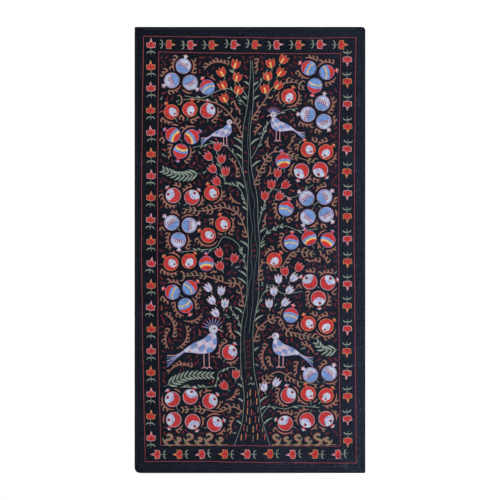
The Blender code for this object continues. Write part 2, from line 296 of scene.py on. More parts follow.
# %% Silk
SILK_FINISH = {"Roughness": 0.46, "Sheen Weight": 0.08, "Sheen Roughness": 0.35, "Specular IOR Level": 0.30}
SKEIN = [(0.30, 0.74), (0.70, 1.16)]
DYES = {
    "red": "#be2a29",
    "crimson": "#861a2a",
    "wine": "#6a1b27",
    "rose": "#8e3844",
    "pink": "#dba2ad",
    "apricot": "#d09062",
    "yellow": "#ddb766",
    "white": "#b7bfd2",
    "sky": "#698dc4",
    "lilac": "#938cc4",
    "sage": "#88968a",
    "moss": "#52645c",
    "tan": "#837560",
    "salmon": "#ac504f",
    "navy": "#4a5064",
}


def silk(dye):
    """Silk thread of one dye: soft gloss, sheen, and a skein that isn't quite even."""
    material, tree, shader = new_material(f"silk_thread_{dye}", SILK_FINISH)
    place = add(tree, "TexCoord").outputs["Object"]
    uneven = add(tree, "TexNoise", {"Scale": 66.0, "Detail": 2.0}, {"Vector": place})
    skein = add(tree, "ValToRGB", {}, {"Fac": uneven.outputs[0]})
    body = linear(DYES[dye])[:3]
    set_stops(skein, [(at, tuple(min(c * share, 1.0) for c in body) + (1.0,)) for at, share in SKEIN])
    tree.links.new(skein.outputs[0], shader.inputs["Base Color"])
    return material


SILKS = {dye: silk(dye) for dye in DYES}
print("dyed", len(SILKS), "threads")

# %% [markdown]
# ## How the cloth lies
#
# Dense sewing draws cotton together, so the cloth never lies quite flat: it
# puckers, and a few long soft creases stay from folding. One function gives
# that lift anywhere on the cloth, and both the cotton and the stitches ask it.
# Simulation would give folds that nobody chose; here the creases are placed
# where the cloth has them, and a sum of plane waves gives the puckers. A
# second function says how strong the painted highlight is on a crease's crest,
# where the colour is painted paler.

# %% Creases and puckers
CLOTH_THICK = 0.0012
HEM_WIDE, HEM_RISE = 0.0118, 0.0008
HEM_STITCH_INSET = 0.0106
MEAN_LIFT = 0.0009
EDGE_REST, EDGE_SHARE = 0.030, 0.15
CREASE_FULL = 0.0026

CREASES = [
    # x and y of both ends, width, rise
    (0.150, -0.940, 0.400, -0.958, 0.020, 0.0024),
    (0.340, -0.940, 0.480, -0.974, 0.019, 0.0024),
    (0.380, -0.984, 0.505, -1.004, 0.019, 0.0020),
    (0.130, -0.962, 0.330, -0.982, 0.020, 0.0018),
    (0.436, -0.886, 0.470, -0.972, 0.019, 0.0016),
    (-0.455, -0.985, -0.180, -0.992, 0.030, 0.0016),
    (0.266, -0.772, 0.340, -0.846, 0.034, 0.0022),
    (-0.440, 0.990, -0.120, 0.997, 0.024, 0.0015),
    (0.470, 0.560, 0.492, 0.250, 0.026, 0.0014),
    (0.497, 0.900, 0.507, 0.480, 0.018, 0.0014),
    (0.080, -0.990, 0.260, -0.975, 0.024, 0.0013),
    (-0.060, 0.985, 0.320, 0.996, 0.020, 0.0013),
    (-0.500, -0.300, -0.508, -0.720, 0.020, 0.0011),
    (0.300, 0.958, 0.440, 0.982, 0.022, 0.0015),
]

PUCKERS = [
    # shortest and longest wave, lift, waves
    (0.36, 0.62, 0.00055, 7),
    (0.09, 0.17, 0.00030, 14),
    (0.032, 0.055, 0.00012, 20),
]


def inset_of(x, y):
    """How far a place is from the nearest edge of the cloth."""
    return np.minimum(WIDTH / 2 - np.abs(x), LENGTH / 2 - np.abs(y))


def crease_lift(x, y):
    """The lift of the hand-placed creases: a soft round section, fading to both ends."""
    lift = np.zeros_like(x)
    for x0, y0, x1, y1, wide, rise in CREASES:
        long = math.hypot(x1 - x0, y1 - y0)
        ux, uy = (x1 - x0) / long, (y1 - y0) / long
        run = ((x - x0) * ux + (y - y0) * uy) / long
        off = np.abs((y - y0) * ux - (x - x0) * uy)
        across = np.cos(np.clip(off / wide, 0, 0.5) * math.pi * 2) * 0.5 + 0.5
        lift += rise * across * np.sin(np.clip(run, 0, 1) * math.pi)
    return lift


def worn_crest(x, y):
    """How strong the painted highlight is at a place: 1 on the crest of a full crease."""
    return np.clip(crease_lift(x, y) / CREASE_FULL, 0, 1) ** 2


def pucker_lift(x, y):
    """A calm, irregular relief made of many plane waves."""
    dice = np.random.default_rng(11)
    lift = np.zeros_like(x)
    for short, long, height, count in PUCKERS:
        for _ in range(count):
            way, start = dice.uniform(0, 2 * math.pi, 2)
            wave = 2 * math.pi / dice.uniform(short, long)
            lift += height / math.sqrt(count) * np.cos(wave * (x * math.cos(way) + y * math.sin(way)) + start)
    return lift


def lie(x, y):
    """How far the cloth's underside is off the floor, from nothing upwards."""
    x, y = np.asarray(x, float), np.asarray(y, float)
    inset = inset_of(x, y)
    rest = EDGE_SHARE + (1 - EDGE_SHARE) * np.clip(inset / EDGE_REST, 0, 1)
    return np.maximum(MEAN_LIFT + pucker_lift(x, y), 0.0) * rest + crease_lift(x, y)


spread = lie(*np.meshgrid(np.linspace(-0.5, 0.5, 200), np.linspace(-1, 1, 400)))
print(f"lift {spread.min() * 1000:.1f} to {spread.max() * 1000:.1f} mm")

# %% [markdown]
# ## The cotton sheet
#
# The cloth is one closed sheet: a fine grid above, the same grid below, and
# walls between. Its edge is turned in and sewn, so a band as wide as the hem
# stands one layer higher, rounds over at the fold and dips along its seam. The
# grid has extra lines there. Each corner keeps its own rounding, made by
# drawing the square corner of the grid onto a quarter circle.

# %% Grid of the sheet
CORNER_RADII = {(-1, -1): 0.026, (1, -1): 0.005, (1, 1): 0.016, (-1, 1): 0.005}
GRID_STEP = 0.0088
HEM_SECTION = [
    # inset from the edge, height of the face over the bare cloth, height of the underside
    (0.0000, -0.0004, 0.0008),
    (0.0003, 0.0002, 0.0003),
    (0.0009, HEM_RISE, 0.0000),
    (0.0040, HEM_RISE * 1.05, 0.0000),
    (0.0096, HEM_RISE, 0.0000),
    (HEM_STITCH_INSET, HEM_RISE * 0.35, 0.0000),
    (0.0114, HEM_RISE, 0.0000),
    (HEM_WIDE, HEM_RISE * 0.9, 0.0000),
    (HEM_WIDE + 0.0007, 0.0, 0.0000),
    (0.0200, 0.0, 0.0000),
]


def grid_lines(size):
    """Where grid lines cross one side: the hem's section at both ends, even steps between."""
    edge = np.array([row[0] for row in HEM_SECTION])
    count = round((size - 2 * edge[-1]) / GRID_STEP)
    middle = np.linspace(edge[-1], size - edge[-1], count + 1)[1:-1]
    return np.concatenate([edge, middle, size - edge[::-1]]) - size / 2


def round_corners(x, y):
    """Draws each square corner of the grid onto a quarter circle of its own radius."""
    x, y = x.copy(), y.copy()
    for (sx, sy), radius in CORNER_RADII.items():
        dx, dy = sx * x - (WIDTH / 2 - radius), sy * y - (LENGTH / 2 - radius)
        corner = (dx > 0) & (dy > 0)
        far = np.hypot(dx, dy)
        share = np.where(corner, np.maximum(dx, dy) / np.where(far > 0, far, 1), 1)
        x = np.where(corner, sx * (WIDTH / 2 - radius + dx * share), x)
        y = np.where(corner, sy * (LENGTH / 2 - radius + dy * share), y)
    return x, y


def hem_height(inset, column):
    """The hem's height at an inset from the edge, for the face or the underside."""
    rows = np.array(HEM_SECTION)
    return np.interp(inset, rows[:, 0], rows[:, column])


def face(x, y):
    """The height of the cloth's face, which the stitches lie on."""
    x, y = np.asarray(x, float), np.asarray(y, float)
    inset = inset_of(x, y)
    return CLOTH_THICK + lie(x, y) + hem_height(inset, 1)


XS, YS = grid_lines(WIDTH), grid_lines(LENGTH)
print(f"grid of {len(XS)} by {len(YS)} lines")

# %% [markdown]
# Large meshes are handed to Blender as arrays, which takes a moment where a
# loop over faces would take minutes. Each mesh also gets a plain map of the
# cloth seen from above, named OFBake, so that its colours can be stored later.
# The sheet's face and underside lie side by side on that map.

# %% Arrays to meshes
def mesh_from(name, points, faces, material, flat_map=None):
    """A smooth-shaded object from an array of points and one of triangles or quads."""
    mesh = bpy.data.meshes.new(name)
    mesh.vertices.add(len(points))
    mesh.vertices.foreach_set("co", np.asarray(points, np.float32).ravel())
    mesh.loops.add(faces.size)
    mesh.loops.foreach_set("vertex_index", faces.astype(np.int32).ravel())
    mesh.polygons.add(len(faces))
    mesh.polygons.foreach_set("loop_start", np.arange(0, faces.size, faces.shape[1], dtype=np.int32))
    mesh.polygons.foreach_set("use_smooth", np.ones(len(faces), bool))
    if flat_map is None:
        flat_map = np.column_stack([points[:, 0] / WIDTH, points[:, 1] / LENGTH]) + 0.5
    places = mesh.uv_layers.new(name="OFBake")
    mesh.update(calc_edges=True)
    places.data.foreach_set("uv", flat_map[faces.ravel()].astype(np.float32).ravel())
    mesh.materials.append(material)
    made = bpy.data.objects.new(name, mesh)
    bpy.context.scene.collection.objects.link(made)
    return made


MAP_SHARE, UNDERSIDE_MAP_START = 0.49, 0.505


def make_ground():
    """The cotton sheet: face, underside and the fold between them."""
    gx, gy = (grid.ravel() for grid in np.meshgrid(XS, YS))
    inset = inset_of(gx, gy)
    x, y = round_corners(gx, gy)
    lift = lie(x, y)
    over = np.column_stack([x, y, CLOTH_THICK + lift + hem_height(inset, 1)])
    under = np.column_stack([x, y, lift + hem_height(inset, 2)])
    across, down = len(XS), len(YS)
    number = np.arange(across * down).reshape(down, across)
    corners = (number[:-1, :-1], number[:-1, 1:], number[1:, 1:], number[1:, :-1])
    top = np.column_stack([corner.ravel() for corner in corners])
    bottom = top[:, ::-1] + across * down
    rim = np.concatenate([number[0, :-1], number[:-1, -1], number[-1, :0:-1], number[:0:-1, 0]])
    ahead = np.roll(rim, -1)
    wall = np.column_stack([rim + across * down, ahead + across * down, ahead, rim])
    plan = np.column_stack([over[:, 1] / LENGTH + 0.5, (over[:, 0] / WIDTH + 0.5) * MAP_SHARE])
    flat_map = np.vstack([plan, plan + (0.0, UNDERSIDE_MAP_START)])
    points, faces = np.vstack([over, under]), np.vstack([top, bottom, wall])
    made = mesh_from("cotton_ground", points, faces, COTTON, flat_map)
    # The worn attribute carries the painted highlight on crease crests.
    worn = made.data.attributes.new("worn", "FLOAT", "POINT")
    worn.data.foreach_set("value", np.tile(worn_crest(x, y), 2).astype(np.float32))
    return made


ground = make_ground()
print(f"{ground.name}: {len(ground.data.polygons) * 2} triangles")

# %% [markdown]
# ## The chain stitch
#
# In chain stitch the hook brings up a loop, and the next loop holds it down,
# so a row is a chain of small teardrops. Each link here is two thin strands
# that part from a point, swell and close under the next link. Links are drawn
# 5.2 mm long, which is coarser than hand work, to keep their number in bounds.
# Rows are kept as plain lists of links while the design is sewn, and become
# meshes once at the end: fifty thousand links would be too slow as separate
# objects.

# %% Rows of links
ROW = 0.0027
LINK = 0.0052
dice = np.random.default_rng(7)
sewn = {}
rows_in_order = []


def run_of(points):
    """How far along a line each of its points is."""
    return np.concatenate([[0], np.cumsum(np.hypot(*np.diff(points, axis=0).T))])


def needle_stops(points):
    """Where the needle goes in along a line: at even steps, near one link apart."""
    points = np.asarray(points, float)
    run = run_of(points)
    at = np.linspace(0, run[-1], max(1, round(run[-1] / LINK)) + 1)
    return np.column_stack([np.interp(at, run, points[:, 0]), np.interp(at, run, points[:, 1])])


def sew(group, points, dye, wide=1.0, over=0.0):
    """Sews one row in one dye, or in dyes worked out link by link.

    wide is the row's width as a share of a full one, and over is 1 for a row that lies on others.
    """
    stops = needle_stops(points)
    links = np.column_stack([stops[:-1], stops[1:], np.tile([wide, over], (len(stops) - 1, 1))])
    names = dye((stops[:-1] + stops[1:]) / 2) if callable(dye) else np.full(len(links), dye)
    for name in sorted(set(names)):
        sewn.setdefault((group, str(name)), []).append(links[names == name])
    rows_in_order.append(links)


def turned(points, degrees, centre=(0.0, 0.0), scale=1.0):
    """Points turned about the origin, scaled and moved to their place."""
    a = math.radians(degrees)
    turn = np.array([[math.cos(a), math.sin(a)], [-math.sin(a), math.cos(a)]])
    return np.asarray(points, float) * scale @ turn + centre


def unturned(points, degrees, centre=(0.0, 0.0), scale=1.0):
    """The way back from turned()."""
    a = math.radians(degrees)
    turn = np.array([[math.cos(a), -math.sin(a)], [math.sin(a), math.cos(a)]])
    return (np.asarray(points, float) - centre) @ turn / scale


def smooth(points, closed=False, steps=8):
    """A soft curve through given points."""
    p = np.asarray(points, float)
    p = np.vstack([p[-1], p, p[:2]]) if closed else np.vstack([2 * p[0] - p[1], p, 2 * p[-1] - p[-2]])
    t = np.linspace(0, 1, steps, endpoint=False)[:, None]
    parts = []
    for a, b, c, d in zip(p[:-3], p[1:-2], p[2:-1], p[3:]):
        square = (2 * a - 5 * b + 4 * c - d) * t**2
        cube = (3 * b - 3 * c + d - a) * t**3
        parts.append(0.5 * (2 * b + (c - a) * t + square + cube))
    return np.vstack(parts if closed else parts + [p[-2:-1]])


def arc(centre, radius, start, end, steps):
    """Points along an arc, both ends among them."""
    a = np.radians(np.linspace(start, end, steps))
    return np.column_stack([centre[0] + radius * np.cos(a), centre[1] + radius * np.sin(a)])


def beside(points, offset):
    """The line moved sideways, to its left where the offset is positive."""
    points = np.asarray(points, float)
    way = np.gradient(points, axis=0)
    way /= np.maximum(np.hypot(*way.T), 1e-9)[:, None]
    return points + np.column_stack([-way[:, 1], way[:, 0]]) * np.reshape(offset, (-1, 1))


def closed(outline):
    """The outline with its first point again at its end."""
    return np.vstack([outline, outline[:1]])


print("a row of 100 mm takes", len(needle_stops([(0, 0), (0.1, 0)])) - 1, "links")

# %% [markdown]
# A filled shape is rows laid side by side, back and forth inside its outline,
# as the sewer fills a petal. A leaf is a few rows that leave one point and
# meet again at another.

# %% Fillings and leaves
def fill(group, outline, degrees, dye, over=0.0):
    """Rows side by side inside an outline, all at one angle."""
    p = unturned(outline, degrees)
    a, b = p, np.roll(p, -1, axis=0)
    rise = np.where(a[:, 1] == b[:, 1], 1e-12, b[:, 1] - a[:, 1])
    for y in np.arange(p[:, 1].min() + ROW / 2, p[:, 1].max(), ROW):
        meets = (a[:, 1] <= y) != (b[:, 1] <= y)
        xs = np.sort((a[:, 0] + (y - a[:, 1]) * (b[:, 0] - a[:, 0]) / rise)[meets])
        for x0, x1 in zip(xs[::2], xs[1::2]):
            if x1 - x0 > 0.3 * LINK:
                sew(group, turned([(x0, y), (x1, y)], degrees), dye, 1.05, over)


def leaf_rows(long, rows, bend):
    """The lines of an almond leaf along X, bent to one side."""
    t = np.linspace(0, 1, 7)
    for k in range(rows):
        off = k - (rows - 1) / 2
        u = 0.08 * abs(off) + t * (1 - 0.16 * abs(off))
        yield np.column_stack([u * long, bend * long * u**2 + np.sin(np.pi * u) * ROW * off])


def leaf(group, root, degrees, long, rows, dye, bend=0.0):
    """An almond of a few rows from its root to its tip."""
    for row in leaf_rows(long, rows, bend):
        sew(group, turned(row, degrees, root), dye)


def along(line, every, first=0.0, last=0.0):
    """Places at even steps along a line, with the line's direction at each."""
    line = np.asarray(line, float)
    run = run_of(line)
    for s in np.arange(first, run[-1] - last, every):
        here, ahead = ([np.interp(q, run, line[:, k]) for k in (0, 1)] for q in (s, s + 0.002))
        yield np.array(here), math.degrees(math.atan2(ahead[1] - here[1], ahead[0] - here[0]))


print("a leaf of 30 mm takes", sum(len(needle_stops(row)) - 1 for row in leaf_rows(0.030, 3, 0.0)), "links")

# %% [markdown]
# Filler work goes only where the cloth is still bare. A coarse grid of 3 mm
# cells notes where there is sewing already, and tells whether a spot is free.
# Exact tests of row against row would say the same, but far more slowly.

# %% Where the cloth is bare
CELL = 0.003
taken = np.zeros((int(LENGTH / CELL) + 2, int(WIDTH / CELL) + 2), bool)


def mark():
    """Notes the rows sewn since the last call."""
    links = np.vstack(rows_in_order) if rows_in_order else np.zeros((0, 6))
    for share in (0.0, 0.5, 1.0):
        x = links[:, 0] + (links[:, 2] - links[:, 0]) * share
        y = links[:, 1] + (links[:, 3] - links[:, 1]) * share
        taken[((y + LENGTH / 2) / CELL).astype(int), ((x + WIDTH / 2) / CELL).astype(int)] = True
    rows_in_order.clear()


def bare(points, gap):
    """True where every point has bare cloth around it."""
    span = math.ceil(gap / CELL)
    for x, y in np.atleast_2d(points):
        row, column = int((y + LENGTH / 2) / CELL), int((x + WIDTH / 2) / CELL)
        if taken[max(row - span, 0) : row + span + 1, max(column - span, 0) : column + span + 1].any():
            return False
    return True


print("cells noted:", taken.size)

# %% [markdown]
# ## The border lines
#
# Two rose-red lines frame the border. They were drawn by eye, so they wander a
# few millimetres from straight; their distances from the edge are given at five
# places on each side.

# %% Border lines
OUTER_LINE = {
    "left": (0.041, 0.034, 0.032, 0.038, 0.049),
    "right": (0.043, 0.049, 0.051, 0.046, 0.042),
    "top": (0.043, 0.046, 0.049, 0.052, 0.048),
    "bottom": (0.053, 0.054, 0.050, 0.048, 0.046),
}
INNER_LINE = {
    "left": (0.111, 0.106, 0.105, 0.109, 0.120),
    "right": (0.113, 0.121, 0.123, 0.120, 0.115),
    "top": (0.115, 0.119, 0.121, 0.123, 0.122),
    "bottom": (0.128, 0.127, 0.126, 0.125, 0.124),
}


def inset_line(insets, name):
    """One side's line, from its distances to the edge."""
    row = np.array(insets[name])
    if name in ("left", "right"):
        sign, end = (-1, 0) if name == "left" else (1, -1)
        run = np.linspace(LENGTH / 2 - insets["top"][end], insets["bottom"][end] - LENGTH / 2, len(row))
        return smooth(np.column_stack([sign * (WIDTH / 2 - row), run]), steps=16)
    sign, end = (1, 0) if name == "top" else (-1, -1)
    run = np.linspace(insets["left"][end] - WIDTH / 2, WIDTH / 2 - insets["right"][end], len(row))
    return smooth(np.column_stack([run, sign * (LENGTH / 2 - row)]), steps=16)


def quiver(line, phase):
    """A line with the half-millimetre shake of hand sewing."""
    t = np.linspace(0, 1, len(line))
    off = 0.0007 * np.sin(2 * np.pi * (5.3 * t + phase)) + 0.0004 * np.sin(2 * np.pi * (13 * t + 2 * phase))
    return beside(line, off * np.sin(np.pi * t))


for insets in (OUTER_LINE, INNER_LINE):
    for number, name in enumerate(insets):
        sew("border", quiver(inset_line(insets, name), 0.23 * number), "rose", 0.9)
print("lines:", sum(len(links) for links in rows_in_order), "links")

# %% [markdown]
# ## The border of tulips
#
# A procession of small tulips runs round the cloth between the lines. Each has
# a boxy red flower with three lobes and one long spike, outlined in pink or in
# apricot by turns, and stands on a short stem with two leaves. One function
# sews a tulip, and a table says how many each side has.

# %% Border tulips
LANE = {"left": 0.0755, "right": 0.0825, "top": 0.0825, "bottom": 0.0875}
LANE_RUNS = [
    # side, way of the spikes, tulips, gap before the first and after the last
    ("left", 90, 19, 0.075, 0.000),
    ("top", 0, 9, 0.083, 0.025),
    ("right", 270, 18, 0.068, 0.060),
    ("bottom", 180, 9, 0.045, 0.025),
]
BORDER_TULIP = [
    # half of the outline, from the foot to the spike
    (0.009, -0.015),
    (0.020, -0.012),
    (0.021, 0.011),
    (0.012, 0.006),
    (0.0045, 0.014),
    (0.0, 0.032),
]


def mirrored(half):
    """A half outline and its mirror image, the point on the axis taken once."""
    return np.array(half + [(-x, y) for x, y in half[-2::-1]])


def border_places():
    """Where each border tulip lies, and where its spike points, clockwise round the cloth."""
    left, right = LANE["left"] - WIDTH / 2, WIDTH / 2 - LANE["right"]
    bottom, top = LANE["bottom"] - LENGTH / 2, LENGTH / 2 - LANE["top"]
    corners = {"left": (left, bottom), "top": (left, top), "right": (right, top), "bottom": (right, bottom)}
    starts = [np.array(corners[run[0]]) for run in LANE_RUNS]
    for start, end, (_, turn, count, before, after) in zip(starts, starts[1:] + starts[:1], LANE_RUNS):
        way = (end - start) / np.linalg.norm(end - start)
        for t in np.linspace(0, 1, count):
            yield (start + way * before) * (1 - t) + (end - way * after) * t, turn


def border_tulip(centre, turn, edge):
    """A crowned flower with a long spike, its stem and two leaves."""
    flower = mirrored(BORDER_TULIP)

    def dye(points):
        q = unturned(points, turn - 90, centre)
        heart = (np.abs(q[:, 0]) < 0.003) & (np.abs(q[:, 1] + 0.004) < 0.006)
        return np.where(q[:, 1] > 0.014, edge, np.where(heart, "crimson", "red"))

    fill("border", turned(flower * (0.78, 0.78), turn - 90, centre), turn, dye)
    sew("border", turned(closed(flower * 0.94), turn - 90, centre), edge, 0.85, 1)
    sew("border", turned([(0, -0.017), (0, -0.046)], turn - 90, centre), "sage", 0.7)
    for side in (-1, 1):
        tip = [(0.001 * side, -0.033), (0.009 * side, -0.031), (0.016 * side, -0.035), (0.019 * side, -0.041)]
        sew("border", turned(smooth(tip), turn - 90, centre), "sage")
        sew("border", turned(smooth(tip)[3:-3] + (0, -ROW * 0.8), turn - 90, centre), "sage", 0.7)


for number, (centre, turn) in enumerate(border_places()):
    centre = centre + dice.normal(0, 0.0012, 2)
    border_tulip(centre, turn + dice.normal(0, 4.0), ("pink", "apricot")[number % 2])
mark()
print("tulips in the border:", number + 1)

# %% [markdown]
# ## The trunk
#
# The tree is drawn, not filled: single grey-green rows follow both sides of the
# trunk, which is wide at its foot and thins towards the top, and single rows
# run up inside it like bark. Short dashes stand low inside it.

# %% Trunk
TRUNK = [
    # y, x, half width
    (-0.898, 0.010, 0.082),
    (-0.800, 0.012, 0.050),
    (-0.700, 0.006, 0.036),
    (-0.550, -0.008, 0.030),
    (-0.380, -0.012, 0.028),
    (-0.200, 0.006, 0.027),
    (-0.020, 0.020, 0.026),
    (0.160, 0.014, 0.024),
    (0.320, -0.006, 0.021),
    (0.480, -0.016, 0.018),
    (0.640, -0.004, 0.014),
    (0.780, 0.008, 0.008),
    (0.870, 0.006, 0.003),
]
TRUNK_LINES = [
    # place between the middle, 0, and an edge, 1; first and last row of the trunk; dye
    (-1, 0, 13, "sage"),
    (1, 0, 13, "sage"),
    (-0.45, 3, 9, "moss"),
    (0.30, 4, 11, "moss"),
]
DASH_PITCH = 0.040
DASH_DYES = ("apricot", "salmon", "tan")


def trunk_at(y):
    """The middle and half width of the trunk at a height."""
    rows = np.array(TRUNK)
    return np.interp(y, rows[:, 0], rows[:, 1]), np.interp(y, rows[:, 0], rows[:, 2])


def trunk():
    """Outlines, two dim lines of bark and the dashes at the foot."""
    rows = np.array(TRUNK)
    for share, first, last, name in TRUNK_LINES:
        y, x, half = rows[first:last].T
        line = smooth(np.column_stack([x + share * half, y]))
        t = np.linspace(0, 1, len(line))
        sway = 0.0048 * np.sin(2 * np.pi * (4.3 * t + share))
        sway = sway + 0.0026 * np.sin(2 * np.pi * (9.1 * t + 2 * share))
        sew("tree", beside(line, sway * np.sin(np.pi * t)), name, 0.7)
    for row, y in enumerate(np.arange(-0.874, -0.64, DASH_PITCH)):
        x, half = trunk_at(y)
        count = max(2, round(half * 2 / 0.027))
        for k in range(count):
            off = ((k + 0.5) / count * 2 - 1) * (half - 0.007)
            root = np.array((x + off + 0.003 * (-1) ** k, y + 0.006 * math.sin(2.3 * k + row)))
            sew("scrolls", [root, root + (0.001, 0.028)], DASH_DYES[(k + row) % 3], 1.15)


trunk()
mark()
print("trunk rows sewn")

# %% [markdown]
# ## Pomegranates
#
# The fruits carry the design. Each is a disc filled with curved rows, drawn
# like lines of latitude on a ball, so that it looks round. Five kinds differ in
# how their colours divide: banded, capped, pale with blue shading, open with a
# heart of seeds, and halved. A three-pointed crown sits on top. The dye is
# worked out link by link from the place on the ball.

# %% Pomegranates
FRUIT_RADIUS = 0.0345
CROWN = [(0.16, 0), (0.15, 0.22), (0.40, 0.55), (0.17, 0.42), (0, 0.66)]
TILT = math.radians(8)
BALL_TILT = math.radians(22)
FRUITS = {
    # rim, crown tips, crown heart
    "banded": ("lilac", "lilac", "red"),
    "capped": ("lilac", "pink", "red"),
    "pale": ("white", "pink", "white"),
    "open": ("apricot", "apricot", "red"),
    "halved": ("white", "white", "red"),
}
BANDS = {
    # top of each band on the ball, and its dye
    "banded": [(-0.66, "red"), (-0.44, "yellow"), (-0.06, "sky"), (2.0, "red")],
    "capped": [(-0.50, "sky"), (-0.34, "yellow"), (0.06, "sky"), (2.0, "red")],
}


def teeth(t, count):
    """A zigzag between 0 and 1, with this many teeth over each unit."""
    return np.abs((t * count) % 1 - 0.5) * 2


def oval(x, y, middle, reach):
    """How far out a place is in an oval: 1 on its edge."""
    return np.hypot((x - middle[0]) / reach[0], (y - middle[1]) / reach[1])


def fruit_dye(kind, height, across, up):
    """The dye at a height on the ball, -1 at the stem and 1 at the crown, and at a place on the disc."""
    if kind in BANDS:
        return np.array([next(name for top, name in BANDS[kind] if v < top) for v in height])
    if kind == "pale":
        shade = -0.46 - 0.22 * across
        slits = (teeth(across + 0.1, 3.3) > 0.52) & (height > shade - 0.06) & (height < shade + 0.56)
        washed = np.where(height > shade, "lilac", "sky")
        worn = (height > shade + 0.12) & (np.hypot(across - 0.08, up - 0.06) < 0.84)
        return np.where(slits & (np.abs(across) < 0.72), "rose", np.where(worn, "white", washed))
    # Every few rows of red turn crimson: painted shade that stands in for the dark between rows of stitches.
    red_with_painted_row_shade = np.where(teeth(height, 3.4) > 0.84, "crimson", "red")
    if kind == "halved":
        bay = oval(across, up, (0.10, 0.62), (0.78, 0.70)) < 1 + 0.12 * teeth(across, 3.0)
        slits = (teeth(across, 3.0) > 0.74) & (up < 0.40)
        eye = oval(across, up, (0, 0.72), (0.20, 0.24)) < 1
        return np.where(eye, "crimson", np.where(bay, np.where(slits, "lilac", "white"), red_with_painted_row_shade))
    lobe = oval(across, up, (0.14, -0.14), (0.46, 0.62)) < 1 + 0.14 * teeth(up, 3)
    heart = oval(across, up, (0.26, -0.46), (0.16, 0.15)) < 1
    return np.where(heart, "crimson", np.where(lobe, "white", red_with_painted_row_shade))


def pomegranate(centre, way, kind, lean=0):
    """A round fruit in curved rows, its rim and its crown; lean turns the pattern away from the crown."""
    rim, tips, heart = FRUITS[kind]
    inner = FRUIT_RADIUS - ROW * 0.7
    face_way = way - 90 + lean

    def body_dye(points):
        q = unturned(points, face_way, centre, inner)
        depth = np.sqrt(np.clip(1 - q[:, 0] ** 2 - q[:, 1] ** 2, 0, 1))
        height = q[:, 1] * math.cos(BALL_TILT) - depth * math.sin(BALL_TILT)
        return fruit_dye(kind, height, q[:, 0], q[:, 1])

    def crown_dye(points):
        q = unturned(points, way - 90, centre, FRUIT_RADIUS)
        return np.where((q[:, 1] > 1.33) | (np.abs(q[:, 0]) > 0.26), tips, heart)

    steep = np.linspace(-math.pi / 2, math.pi / 2 - TILT / 2, 200)
    middle = (np.sin(steep + TILT) + np.sin(steep) * math.cos(TILT)) / 2
    for latitude in np.interp(np.arange(middle[0], middle[-1], ROW / inner), middle, steep):
        ring, height = math.cos(latitude), math.sin(latitude)
        sweep = np.linspace(-math.pi / 2, math.pi / 2, 9)
        row = [ring * np.sin(sweep), height * math.cos(TILT) + ring * np.cos(sweep) * math.sin(TILT)]
        if ring * 2 * inner > LINK:
            sew("fruit", turned(np.column_stack(row), face_way, centre, inner), body_dye, 1.2)
    sew("fruit", arc(centre, FRUIT_RADIUS - ROW * 0.3, 0, 360, 33), rim, 0.7, 1)
    if kind in ("pale", "halved"):
        sew("fruit", arc(centre, FRUIT_RADIUS + ROW * 0.6, 0, 360, 33), "wine", 0.8)
    crown = turned(mirrored(CROWN) + (0, 0.95), way - 90, centre, FRUIT_RADIUS)
    fill("fruit", crown, way, crown_dye)


CLUSTER_REACH = {1: 0.0, 2: 0.0425, 3: 0.0485, 4: 0.060}
CLUSTERS = [
    # x, y, fruits, turn, kind
    (-0.312, 0.798, 3, 82, "pale"),
    (-0.196, 0.748, 1, 118, "capped"),
    (-0.320, 0.640, 2, 8, "open"),
    (-0.194, 0.640, 1, 84, "halved"),
    (-0.314, 0.500, 3, 264, "banded"),
    (-0.308, 0.246, 2, -6, "halved"),
    (-0.176, 0.262, 1, 124, "open"),
    (-0.322, 0.096, 3, 262, "pale"),
    (-0.160, 0.092, 2, 38, "open"),
    (-0.320, -0.056, 2, 7, "open"),
    (-0.200, -0.062, 1, 92, "banded"),
    (-0.310, -0.206, 3, 285, "capped"),
    (-0.316, -0.680, 2, 8, "halved"),
    (-0.184, -0.694, 1, 30, "halved"),
    (-0.306, -0.784, 2, 174, "halved"),
    (-0.162, -0.800, 1, 20, "halved"),
    (-0.094, -0.470, 1, 70, "halved"),
    (0.308, 0.802, 3, 18, "capped"),
    (0.178, 0.706, 1, 76, "open"),
    (0.312, 0.628, 3, 66, "pale"),
    (0.308, 0.456, 2, -8, "open"),
    (0.280, 0.366, 2, 184, "halved"),
    (0.152, 0.409, 1, 96, "banded"),
    (0.306, 0.200, 4, 50, "pale"),
    (0.166, 0.190, 1, 84, "capped"),
    (0.314, 0.050, 2, -6, "banded"),
    (0.190, 0.036, 1, 76, "capped"),
    (0.112, -0.046, 1, 52, "open"),
    (0.316, -0.172, 3, 268, "halved"),
    (0.310, -0.344, 2, -8, "open"),
    (0.188, -0.300, 1, 70, "capped"),
    (0.322, -0.570, 2, 5, "pale"),
    (0.308, -0.664, 2, -6, "open"),
    (0.176, -0.668, 1, 110, "halved"),
    (0.306, -0.778, 2, 184, "halved"),
    (0.162, -0.796, 1, 150, "halved"),
]


def fruits_of(x, y, count, turn):
    """Where each fruit of a cluster lies and which way its crown points, a little uneven as by hand."""
    for k in range(count):
        way = turn + 360 * k / count
        sway = math.sin(40 * x + 23 * y + 2 * k)
        reach = CLUSTER_REACH[count] * (1 + 0.05 * sway)
        centre = (x + reach * math.cos(math.radians(way)), y + reach * math.sin(math.radians(way)))
        if count == 1:
            way = turn
        if count == 2:
            way = turn + 90 - 32 * (1 - 2 * k)
        yield centre, way + 12 * sway


LEANS = (0, 24, -30, 10, 40, -18, -60)
HARVEST = [(centre, way, row[4]) for row in CLUSTERS for centre, way in fruits_of(*row[:4])]
for number, (centre, way, kind) in enumerate(HARVEST):
    pomegranate(centre, way, kind, LEANS[number % len(LEANS)] if kind == "halved" else 0)
mark()
print("pomegranates:", len(HARVEST))

